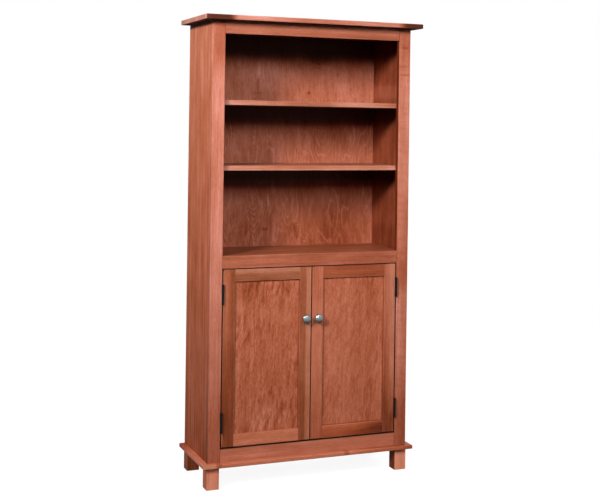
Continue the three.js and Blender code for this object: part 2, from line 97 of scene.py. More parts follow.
# Screws in the hinge leaves: the planes of the leaves, and the screws' line and heights on them
DOOR_LEAF_PLANE = 0.370
FRAME_LEAF_PLANE = 0.3735
SCREW_LINE = -0.1302
SCREW_OFFSETS = (-0.026, 0, 0.026)
SCREW_RADIUS = 0.0034
SCREW_RISE = 0.0003
SCREW_CROWN_SHARE = 0.86
SCREW_SEGMENTS = 24
SLOT_REACH_SHARE = 0.58
SLOT_WIDTH = 0.0009
SLOT_DEPTH = 0.0008

# Stained maple, from the darkest streak to the palest, and the near-black colour of painted shade
DEEP = (0.130, 0.021, 0.006)
BROWN = (0.250, 0.052, 0.018)
MIDDLE = (0.400, 0.103, 0.047)
WARM = (0.540, 0.172, 0.098)
PALE = (0.700, 0.275, 0.185)
PAINTED_SHADE = (0.012, 0.006, 0.005)
STAIN = ((0.0, DEEP), (0.25, BROWN), (0.5, MIDDLE), (0.75, WARM), (1.0, PALE))

# Noise along the grain: its cells in a metre along and across the grain, its detail and its roughness
DRIFT_NOISE = ((1.6, 5.0), 2, 0.5)
WIDE_NOISE = ((1.1, 34), 2, 0.55)
FINE_NOISE = ((5.0, 210), 3, 0.6)
HAIR_NOISE = ((26, 900), 2, 0.5)
BLOTCH_NOISE = ((5.0, 13), 3, 0.55)
FLECK_NOISE = ((17, 75), 2, 0.5)
SPECK_NOISE = ((70, 230), 2, 0.6)

# Other noise: its cells in a metre on X, Y and Z, its detail and its roughness
RIPPLE_PATCH_NOISE = ((7, 7, 5), 1, 0.5)
FIGURE_NOISE = ((6.5, 6.5, 2.0), 3, 0.4)
FIGURE_PATCH_NOISE = ((16, 16, 9), 2, 0.5)
ARC_WOBBLE_NOISE = ((14, 14, 9), 3, 0.5)
ARC_PATCH_NOISE = ((11, 11, 7), 1, 0.5)
CLOUD_NOISE = ((140, 140, 140), 4, 0.5)
SCRATCH_NOISE = ((1800, 1800, 400), 2, 0.5)
NOISE_MIDDLE = 0.5
SEED_STEPS = (3.17, 1.73, 2.41)

# Curly flecks and the patches where they are strong
FLECK_TWIST = 0.4
FLECK_MOST = 0.09
RIPPLE_PATCH_RANGE = (0.35, 0.62)
RIPPLE_LEAST_SHARE = 0.35

# A veneer's pale lines, the patches that have them, and the heights between which they fade
LINE_RANGE = (0.45, 1.0)
LINE_MIDDLE = 0.25
FIGURE_PATCH_RANGE = (0.36, 0.66)
FIGURE_FADE_RANGE = (1.40, 1.52, 1.0, 0.35)

# Nested arcs: how far they wobble, how round their tips are, and where they fade
ARC_WOBBLE = 0.07
ARC_TIP = 0.00008
ARC_CORE_SHARE = 0.4
ARC_PATCH_RANGE = (0.38, 0.58)

# Ovals and front edges: the share of an oval's radius where it fades, and what is left behind an edge
OVAL_CORE_SHARE = 0.35
BEHIND_EDGE_SHARE = 0.15

# Pores, faces that look along an axis, edges paled by wear and painted highlight, gloss and relief
PORE_RANGE = (0.30, 0.42, 0.86, 1.0)
FACING_RANGE = (0.7, 0.95)
PALE_EDGE_DEPTHS = (0.0006, 0.0024)
PALE_EDGE_PATCH_RANGE = (0.35, 0.6, 0.3, 1.0)
WOOD_ROUGHNESS_RANGE = (0.2, 0.8, 0.50, 0.36)
FINE_RELIEF = (0.12, 0.0008)
HAIR_RELIEF = (0.10, 0.0003)

# Metal: its clouds, its scratches, and the painted dark reflection on the knobs' lower part, which fades in
# between two heights
METAL_CLOUD_RANGE = (0.3, 0.7)
METAL_DARK_SHARE = 0.72
METAL_ROUGHNESS_SHARES = (0.85, 1.15)
SCRATCH_COLOUR = (0.75, 0.74, 0.72)
SCRATCH_RANGE = (0.60, 0.72)
SCRATCH_RELIEF = (0.08, 0.0002)
KNOB_LOWER_SHADE = (0.626, 0.649)
LOWER_SHADE_SHARE = 0.16

# What the fittings are made of, by a word in their names
FITTING_WORDS = (("knob_screw", "zinc"), ("strike", "zinc"), ("pin", "bronze"), ("knob", "nickel"),
                 ("hinge", "black"))

# Colours and directions that come back, and the middle of a colour ramp
WHITE = (1, 1, 1, 1)
DOWN = (0, 0, -1)
RAMP_MIDDLE = 0.5

# The sockets of a Mix node that mixes colours
MIX_FIRST = 6
MIX_SECOND = 7
MIX_RESULT = 2


def add_camera():
    """The camera, level and rolled a little about its own axis."""
    forward = Vector((math.sin(CAMERA_YAW), math.cos(CAMERA_YAW), 0))
    level = Vector((math.cos(CAMERA_YAW), -math.sin(CAMERA_YAW), 0))
    up = Vector((0, 0, 1))
    right = level * math.cos(CAMERA_ROLL) + up * math.sin(CAMERA_ROLL)
    top = up * math.cos(CAMERA_ROLL) - level * math.sin(CAMERA_ROLL)
    data = bpy.data.cameras.new("camera")
    data.lens = CAMERA_LENS
    data.shift_y = CAMERA_SHIFT
    data.clip_end = CAMERA_REACH
    camera = bpy.data.objects.new("camera", data)
    turn = Matrix((right, top, -forward)).transposed().to_4x4()
    camera.matrix_world = Matrix.Translation(CAMERA_PLACE) @ turn
    bpy.context.scene.collection.objects.link(camera)
    bpy.context.scene.camera = camera


def add_lamp(name, azimuth, elevation, distance, width, height, spread, power):
    """A soft box that faces the case."""
    around = math.radians(azimuth)
    rise = math.radians(elevation)
    away = Vector((-math.sin(around) * math.cos(rise), -math.cos(around) * math.cos(rise), math.sin(rise)))
    data = bpy.data.lights.new(name, "AREA")
    data.shape = "RECTANGLE"
    data.size = width
    data.size_y = height
    data.spread = math.radians(spread)
    data.energy = power
    lamp = bpy.data.objects.new(name, data)
    lamp.location = AIM + away * distance
    lamp.rotation_euler = away.to_track_quat("Z", "Y").to_euler()
    bpy.context.scene.collection.objects.link(lamp)


class Shader:
    """A node tree with one short call for each kind of node."""

    def __init__(self, tree):
        self.tree = tree

    def put(self, value, socket):
        """A value on a socket, or a link to it."""
        if isinstance(value, bpy.types.NodeSocket):
            self.tree.links.new(value, socket)
        elif value is not None:
            socket.default_value = value

    def node(self, kind, inputs=None, **settings):
        """A node with its settings, and its inputs by name or number."""
        made = self.tree.nodes.new("ShaderNode" + kind)
        for name, value in settings.items():
            setattr(made, name, value)
        for name, value in (inputs or {}).items():
            self.put(value, made.inputs[name])
        return made

    def math(self, operation, *values):
        """A Math node on up to three values."""
        return self.node("Math", dict(enumerate(values)), operation=operation).outputs[0]

    def vector(self, operation, first, second=None, scale=None):
        """A Vector Math node."""
        inputs = {0: first, 1: second}
        if scale is not None:
            inputs["Scale"] = scale
        made = self.node("VectorMath", inputs, operation=operation)
        return made.outputs["Value" if operation in ("DOT_PRODUCT", "LENGTH") else "Vector"]

    def split(self, source):
        """The X, Y and Z of coordinates."""
        return self.node("SeparateXYZ", {0: source}).outputs

    def placed(self, source, scale, place=(0, 0, 0), turn=(0, 0, 0)):
        """Coordinates moved, turned and scaled."""
        inputs = {"Vector": source, "Location": place, "Rotation": turn, "Scale": scale}
        return self.node("Mapping", inputs).outputs[0]

    def noise(self, source, cells, detail, roughness, place=(0, 0, 0), distortion=0.0):
        """Smooth noise between nought and one: a value first, and three of them as Color."""
        inputs = {"Vector": self.placed(source, cells, place), "Scale": 1.0, "Detail": detail,
                  "Roughness": roughness, "Distortion": distortion}
        return self.node("TexNoise", inputs).outputs

    def ramp(self, factor, stops):
        """Colours or grey values along a factor."""
        made = self.node("ValToRGB", {"Fac": factor})
        elements = made.color_ramp.elements
        while len(elements) < len(stops):
            elements.new(RAMP_MIDDLE)
        for element, (place, value) in zip(elements, stops):
            element.position = place
            colour = value if isinstance(value, tuple) else (value,) * 3
            element.color = (*colour, 1)
        return made.outputs["Color"]

    def span(self, value, low, high, to_low=0.0, to_high=1.0, smooth=False):
        """A value's range mapped to another range, and held at its ends."""
        kind = "SMOOTHSTEP" if smooth else "LINEAR"
        inputs = {"Value": value, "From Min": low, "From Max": high, "To Min": to_low, "To Max": to_high}
        return self.node("MapRange", inputs, interpolation_type=kind).outputs[0]

    def mix(self, factor, first, second, blend="MIX"):
        """Two colours mixed."""
        made = self.node("Mix", {0: factor}, data_type="RGBA", blend_type=blend)
        for value, number in ((first, MIX_FIRST), (second, MIX_SECOND)):
            self.put((*value, 1) if isinstance(value, tuple) else value, made.inputs[number])
        return made.outputs[MIX_RESULT]

    def bump(self, height, strength, distance, normal=None):
        """Relief from a height, on top of a relief that is there."""
        inputs = {"Height": height, "Strength": strength, "Distance": distance}
        if normal is not None:
            inputs["Normal"] = normal
        return self.node("Bump", inputs).outputs[0]

    def oval(self, source, x, z, width, height, amount):
        """An amount in a soft oval seen from the front, strongest at its middle."""
        scale = (1 / width, 0, 1 / height)
        away = self.vector("LENGTH", self.placed(source, scale, (-x / width, 0, -z / height)))
        return self.span(away, OVAL_CORE_SHARE, 1.0, amount, 0.0, smooth=True)

    def seen_share(self):
        """One for what the camera and the reflections see, and nought for light on the case."""
        seen = self.node("LightPath").outputs
        return self.math("MAXIMUM", seen["Is Camera Ray"],
                         self.math("MAXIMUM", seen["Is Glossy Ray"], seen["Is Transmission Ray"]))


def new_material(name):
    """A material, its node calls and its main shader."""
    material = bpy.data.materials.new(name)
    material.use_nodes = True
    shader = Shader(material.node_tree)
    return material, shader, material.node_tree.nodes["Principled BSDF"]


def by_axis(grain, along, across):
    """A value for each axis, which differs along the grain."""
    return tuple(along if axis == grain else across for axis in "XYZ")


class Board:
    """One board's stained wood, laid out on its own box, with the grain along one axis."""

    def __init__(self, s, name, grain, seed, look):
        self.s = s
        self.name = name
        self.grain = grain
        self.look = look
        self.low, self.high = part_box(name)
        self.offset = Vector([seed * step for step in SEED_STEPS])
        coordinates = s.node("TexCoord").outputs
        self.source = coordinates["Object"]
        self.normal = coordinates["Normal"]
        self.place = s.split(self.source)
        self.fibre = self.wandered(DRIFT_NOISE, look["drift"])
        self.fine = self.noise(self.fibre, FINE_NOISE)
        self.hair = self.noise(self.fibre, HAIR_NOISE)
        self.blotch = self.noise(self.source, BLOTCH_NOISE)

    def noise(self, source, kind, output=0):
        """Noise of some kind, which follows the grain where it has two sizes of cell."""
        cells, detail, roughness = kind
        if len(cells) == 2:
            cells = by_axis(self.grain, *cells)
        return self.s.noise(source, cells, detail, roughness, self.offset)[output]

    def wandered(self, kind, reach):
        """The board's coordinates, moved a little by noise."""
        shift = self.s.vector("SUBTRACT", self.noise(self.source, kind, "Color"), (NOISE_MIDDLE,) * 3)
        return self.s.vector("ADD", self.source, self.s.vector("SCALE", shift, scale=reach))

    def swung(self, tone, noise, amount):
        """A tone with some noise added, both ways from its middle."""
        return self.s.math("MULTIPLY_ADD", self.s.math("SUBTRACT", noise, NOISE_MIDDLE), amount, tone)

    def facing(self, direction):
        """How squarely a face looks along a direction."""
        return self.s.vector("DOT_PRODUCT", self.normal, direction)

    def at_front(self, amount):
        """An amount that falls off behind the board's front edge, where its look says so."""
        s = self.s
        reach = self.look["front_only"]
        if not reach:
            return amount
        near = self.low[1] + reach
        far = self.low[1] + 2 * reach
        share = s.span(self.place[1], near, far, 1.0, BEHIND_EDGE_SHARE, smooth=True)
        return s.math("MULTIPLY", amount, share)

    def grain_tone(self):
        """Wide bands, fine lines, blotches and pores."""
        look = self.look
        wide = self.noise(self.fibre, WIDE_NOISE)
        tone = self.s.math("MULTIPLY_ADD", wide, look["wide"], look["tone"] - look["wide"] / 2)
        tone = self.swung(tone, self.fine, look["fine"])
        tone = self.swung(tone, self.blotch, look["blotch"])
        return self.swung(tone, self.hair, look["hair"])

    def add_bands(self, tone):
        """Slow changes across and along the board, as a ramp's greys about the middle one."""
        s = self.s
        for axis, stops in self.look["bands"]:
            index = "XYZ".index(axis)
            share = s.span(self.place[index], self.low[index], self.high[index])
            grey = s.ramp(share, [(stop, RAMP_MIDDLE + value) for stop, value in stops])
            tone = s.math("ADD", tone, self.at_front(s.math("SUBTRACT", grey, RAMP_MIDDLE)))
        return tone

    def add_ripple(self, tone):
        """Curly figure: short slanting flecks, strong in some patches."""
        s = self.s
        ripple = self.look["ripple"]
        if not ripple:
            return tone
        slanted = s.placed(self.fibre, (1, 1, 1), self.offset, (0, math.radians(self.look["slant"]), 0))
        cells, detail, roughness = FLECK_NOISE
        cells = by_axis(self.grain, *cells)
        fleck = s.noise(slanted, cells, detail, roughness, distortion=FLECK_TWIST)[0]
        fleck = s.math("MINIMUM", s.math("SUBTRACT", fleck, NOISE_MIDDLE), FLECK_MOST)
        patch = self.noise(self.source, RIPPLE_PATCH_NOISE)
        amount = s.span(patch, *RIPPLE_PATCH_RANGE, ripple * RIPPLE_LEAST_SHARE, ripple)
        return s.math("MULTIPLY_ADD", fleck, amount, tone)

    def add_specks(self, tone):
        """Short fibres."""
        return self.swung(tone, self.noise(self.fibre, SPECK_NOISE), self.look["speck"])

    def add_figure(self, tone):
        """Rotary-cut veneer: thin pale lines where a slow uneven surface crosses even levels."""
        s = self.s
        look = self.look
        if not look["figure"]:
            return tone
        surface = self.noise(self.source, FIGURE_NOISE)
        phase = s.math("MULTIPLY", surface, math.tau * look["rings"])
        line = s.span(s.math("SINE", phase), *LINE_RANGE)
        patch = self.noise(self.source, FIGURE_PATCH_NOISE)
        amount = s.span(patch, *FIGURE_PATCH_RANGE, 0.0, look["figure"])
        amount = s.math("MULTIPLY", amount, s.span(self.place[2], *FIGURE_FADE_RANGE))
        return s.math("MULTIPLY_ADD", s.math("SUBTRACT", line, LINE_MIDDLE), amount, tone)

    def add_arcs(self, tone):
        """Nested arcs that open upwards."""
        s = self.s
        for centre, steepness, pitch, reach, amount in self.look["arcs"]:
            x, _, z = s.split(self.wandered(ARC_WOBBLE_NOISE, ARC_WOBBLE))
            aside = s.math("SUBTRACT", x, centre)
            bend = s.math("SQRT", s.math("MULTIPLY_ADD", aside, aside, ARC_TIP))
            level = s.math("MULTIPLY_ADD", bend, -steepness, z)
            wave = s.math("SINE", s.math("MULTIPLY", level, math.tau / pitch))
            near = s.span(s.math("ABSOLUTE", aside), reach * ARC_CORE_SHARE, reach, amount, 0.0)
            patch = s.span(self.noise(self.source, ARC_PATCH_NOISE), *ARC_PATCH_RANGE)
            tone = s.math("MULTIPLY_ADD", wave, s.math("MULTIPLY", near, patch), tone)
        return tone

    def add_marks(self, tone):
        """Knots, pale flames and other ovals, some of them painted highlights and painted shade."""
        for mark in self.look["marks"]:
            tone = self.s.math("ADD", tone, self.s.oval(self.source, *mark))
        return tone

    def stained(self):
        """The stain's colour, with the look's tint."""
        tone = self.grain_tone()
        for add in (self.add_bands, self.add_ripple, self.add_specks, self.add_figure, self.add_arcs,
                    self.add_marks):
            tone = add(tone)
        colour = self.s.ramp(tone, STAIN)
        if self.look["tint"]:
            colour = self.s.mix(1.0, colour, self.look["tint"], "MULTIPLY")
        return colour

    def add_pores(self, colour):
        """Dark pores."""
        return self.s.mix(1.0, colour, self.s.span(self.hair, *PORE_RANGE), "MULTIPLY")

    def darken_ends(self, colour):
        """End grain takes more stain."""
        ends = self.s.math("ABSOLUTE", self.facing(by_axis(self.grain, 1.0, 0.0)))
        return self.s.mix(self.s.span(ends, *FACING_RANGE, 0.0, self.look["ends"]), colour, BROWN)

    def paint_underside_shade(self, colour):
        """Painted shade on an underside, which is also left rough."""
        under = self.look["under"]
        if not under:
            return colour
        down = self.facing(DOWN)
        return self.s.mix(self.s.span(down, *FACING_RANGE, 0.0, under), colour, PAINTED_SHADE)

    def paint_bay_shade(self, colour):
        """Painted shade inside the case, close under the top and the shelves, where little light falls."""
        s = self.s
        if not self.look["shade"]:
            return colour
        x, y, z = self.place
        between = s.math("LESS_THAN", s.math("ABSOLUTE", x), INNER_HALF_WIDTH)
        before = s.math("LESS_THAN", y, INNER_BACK)
        shade = 0.0
        for level in BAY_TOPS:
            below = s.math("SUBTRACT", level, z)
            near = s.math("MULTIPLY", s.span(below, *BAY_SHADE_DEPTHS, 1.0, 0.0, smooth=True),
                          s.math("GREATER_THAN", below, -SHELF_THICKNESS))
            shade = s.math("MAXIMUM", shade, near)
        shade = s.math("MULTIPLY", shade, s.math("MULTIPLY", between, before))
        return s.mix(s.math("MULTIPLY", shade, self.look["shade"]), colour, PAINTED_SHADE)

    def pale_edges_wear_and_highlight(self, colour):
        """Paler edges, for wear and as painted highlight: of the depths under the faces, the middle one is
        small at an edge only.
        """
        s = self.s
        depths = [s.math("MINIMUM", s.math("SUBTRACT", value, low), s.math("SUBTRACT", high, value))
                  for value, low, high in zip(self.place, self.low, self.high)]
        least = s.math("MINIMUM", s.math("MINIMUM", depths[0], depths[1]), depths[2])
        most = s.math("MAXIMUM", s.math("MAXIMUM", depths[0], depths[1]), depths[2])
        total = s.math("ADD", s.math("ADD", depths[0], depths[1]), depths[2])
        middle = s.math("SUBTRACT", s.math("SUBTRACT", total, least), most)
        pale_edge = s.span(middle, *PALE_EDGE_DEPTHS, self.look["wear"], 0.0, smooth=True)
        pale_edge = s.math("MULTIPLY", pale_edge, s.span(self.blotch, *PALE_EDGE_PATCH_RANGE))
        return s.mix(pale_edge, colour, PALE)

    def add_smudges(self, colour):
        """Dark ovals of painted shade."""
        for smudge in self.look["smudges"]:
            amount = self.at_front(self.s.oval(self.source, *smudge))
            colour = self.s.mix(amount, colour, PAINTED_SHADE)
        return colour

    def paint_gap_shade(self, colour):
        """Painted shade on edges at a door's gap: near the front, and a deep dark above the deck."""
        s = self.s
        if not self.look["gap"]:
            return colour
        shade = 0.0
        for axis, value in self.look["gap"]:
            off = s.math("ABSOLUTE", s.math("SUBTRACT", self.place["XYZ".index(axis)], value))
            shade = s.math("MAXIMUM", shade, s.span(off, *GAP_EDGE, 1.0, 0.0))
        back = FRONT + (DOOR_GAP_DEPTH if "door" in self.name else FRAME_GAP_DEPTH)
        front = s.span(self.place[1], back, back + GAP_FADE, GAP_SHARE, 0.0)
        above = s.span(self.place[2], *ABOVE_CABINET)
        amount = s.math("MULTIPLY", shade, s.math("MAXIMUM", front, above))
        return s.mix(amount, colour, s.mix(above, PAINTED_SHADE, DEEP))

    def colour(self):
        """The finished colour."""
        colour = self.stained()
        for change in (self.add_pores, self.darken_ends, self.paint_underside_shade, self.paint_bay_shade,
                       self.pale_edges_wear_and_highlight, self.add_smudges, self.paint_gap_shade):
            colour = change(colour)
        return colour

    def roughness(self):
        """Uneven gloss, and none on an underside that is left rough."""
        rough = self.s.span(self.fine, *WOOD_ROUGHNESS_RANGE)
        if self.look["under"]:
            rough = self.s.math("MAXIMUM", rough, self.s.span(self.facing(DOWN), *FACING_RANGE))
        return rough

    def relief(self):
        """The grain can be felt a little."""
        relief = self.s.bump(self.fine, *FINE_RELIEF)
        return self.s.bump(self.hair, *HAIR_RELIEF, relief)


def board_material(name, grain, seed, look):
    """Stained wood for one board."""
    material, s, main = new_material("wood_" + name)
    board = Board(s, name, grain, seed, look)
    s.put(board.colour(), main.inputs["Base Color"])
    s.put(board.roughness(), main.inputs["Roughness"])
    s.put(board.relief(), main.inputs["Normal"])
    main.inputs["Specular IOR Level"].default_value = look["gloss"]
    return material


# What a board's look says, with the values of a plain board.
# tone, then how far wide bands, fine lines, blotches, pores and short fibres change it;
# drift: how far the grain wanders; tint: what the colour is multiplied by; gloss: its specular level;
# bands: changes of tone at shares of the board's box; front_only: the depth that bands and smudges keep to;
# marks and smudges: ovals that change the tone, some as painted highlights and shade, and ovals of painted
# shade, by x, z, half width, half height and amount;
# ripple and slant: curly flecks and their angle; figure and rings: a veneer's lines and their number;
# arcs: nested arcs, by x, steepness, pitch, half width and amount;
# wear, ends, under and shade: how far edges pale by wear and painted highlight, how far end grain darkens,
# and how far painted shade darkens an underside and the open bays;
# gap: the planes on which an edge faces a door's gap and gets painted shade; rounding: the width of the
# rounded edges.
PLAIN = {
    "tone": 0.58, "wide": 0.6, "fine": 0.4, "blotch": 0.5, "hair": 0.14, "speck": 0.25,
    "drift": 0.02, "tint": None, "gloss": 0.1,
    "bands": (), "front_only": 0,
    "marks": (), "smudges": (),
    "ripple": 0, "slant": 0, "figure": 0, "rings": 0,
    "arcs": (),
    "wear": 0.35, "ends": 0.55, "under": 0, "shade": 0,
    "gap": (), "rounding": BOARD_ROUNDING,
}


def looks(**changes):
    """The plain board's look with some changes."""
    return {**PLAIN, **changes}


def along(axis, *stops):
    """Changes of tone at shares of a board's length or width."""
    return (axis, stops)


